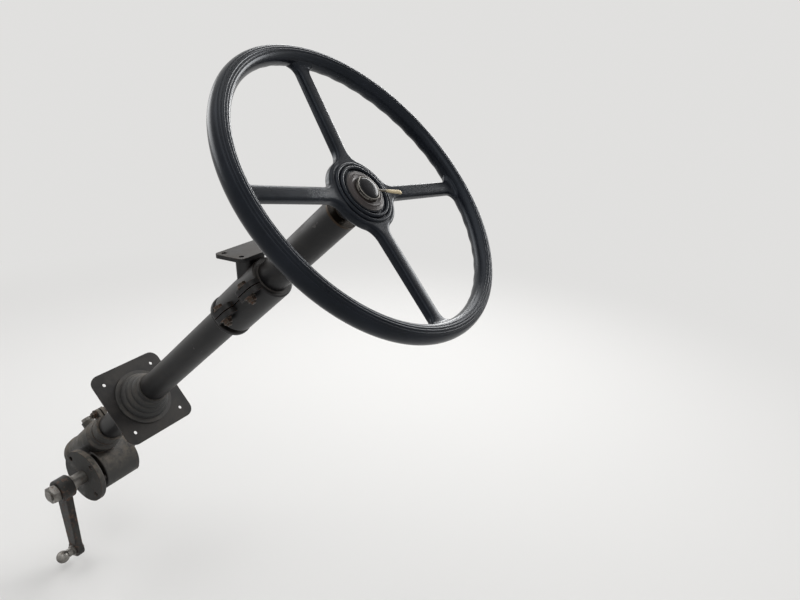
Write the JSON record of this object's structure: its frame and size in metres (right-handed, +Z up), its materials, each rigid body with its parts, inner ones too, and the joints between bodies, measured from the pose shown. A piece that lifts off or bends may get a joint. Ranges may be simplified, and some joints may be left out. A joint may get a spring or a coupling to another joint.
{
  "type": "steering wheel and column",
  "caption": "Raked steering column of a vintage sedan: ringed-hub spoked wheel, jacket, dash bracket, toe board boot, steering box and pitman arm.",
  "frame": {"origin": "where the pitman shaft's axis crosses the face of the steering box that bolts to the frame rail", "axes": "+X the car's right, +Y the car's front, +Z up; the column rises to the rear at 41 degrees"},
  "size_m": [0.4444, 0.9657, 1.0097],
  "materials": {
    "moulded_rubber": "hard moulded rubber, satin, worn",
    "column_enamel": "aged black enamel with dust",
    "box_casting": "painted casting with oil and road dirt",
    "machined_steel": "machined, dulled",
    "forged_steel": "forged, oily",
    "bearing_bronze": "bronze, oiled",
    "bright_chrome": "worn chrome",
    "button_black": "glossy moulded",
    "cover_enamel": "brownish grey enamel",
    "soft_rubber": "aged soft rubber",
    "switch_steel": "plated pressed steel, tarnished"
  },
  "bodies": {
    "column": {"control_tube": "machined_steel", "light_lever": "bright_chrome", "horn_bezel": "bright_chrome", "horn_button": "button_black", "column_jacket": "column_enamel", "upper_bearing": "bearing_bronze", "jacket_clamp": "box_casting", "bracket_liner": "soft_rubber", "bracket_body": "column_enamel", "bracket_cap": "column_enamel", "bracket_collar": "column_enamel", "toe_plate": "column_enamel", "toe_boot": "soft_rubber", "gear_housing": "box_casting", "filler_plug": "machined_steel", "gear_side_cover": "box_casting", "adjusting_screw": "machined_steel", "adjusting_locknut": "machined_steel", "lower_end_plate": "box_casting", "light_switch": "switch_steel"},
    "wheel": {"wheel_rim": "moulded_rubber", "wheel_spoke_1": "moulded_rubber", "wheel_spoke_2": "moulded_rubber", "wheel_spoke_3": "moulded_rubber", "wheel_spoke_4": "moulded_rubber", "wheel_hub": "moulded_rubber", "hub_insert": "machined_steel", "wheel_nut": "machined_steel", "hub_cover": "cover_enamel", "steering_shaft": "machined_steel"},
    "pitman": {"pitman_shaft": "machined_steel", "pitman_arm": "forged_steel", "drag_link_ball": "machined_steel", "pitman_nut": "machined_steel"}
  },
  "joints": [
    {"name": "steering", "type": "hinge", "parent": "column", "child": "wheel", "pos_m": [0.056, -0.69041, 0.66906], "axis": [0, -0.7547, 0.6561], "range_deg": [-540, 540]},
    {"name": "pitman_swing", "type": "hinge", "parent": "column", "child": "pitman", "pos_m": [0, 0, 0], "axis": [1, 0, 0], "range_deg": [-36, 36]}
  ],
  "couplings": [
    {"joint": "pitman_swing", "follows": "steering", "ratio": 0.066667}
  ]
}
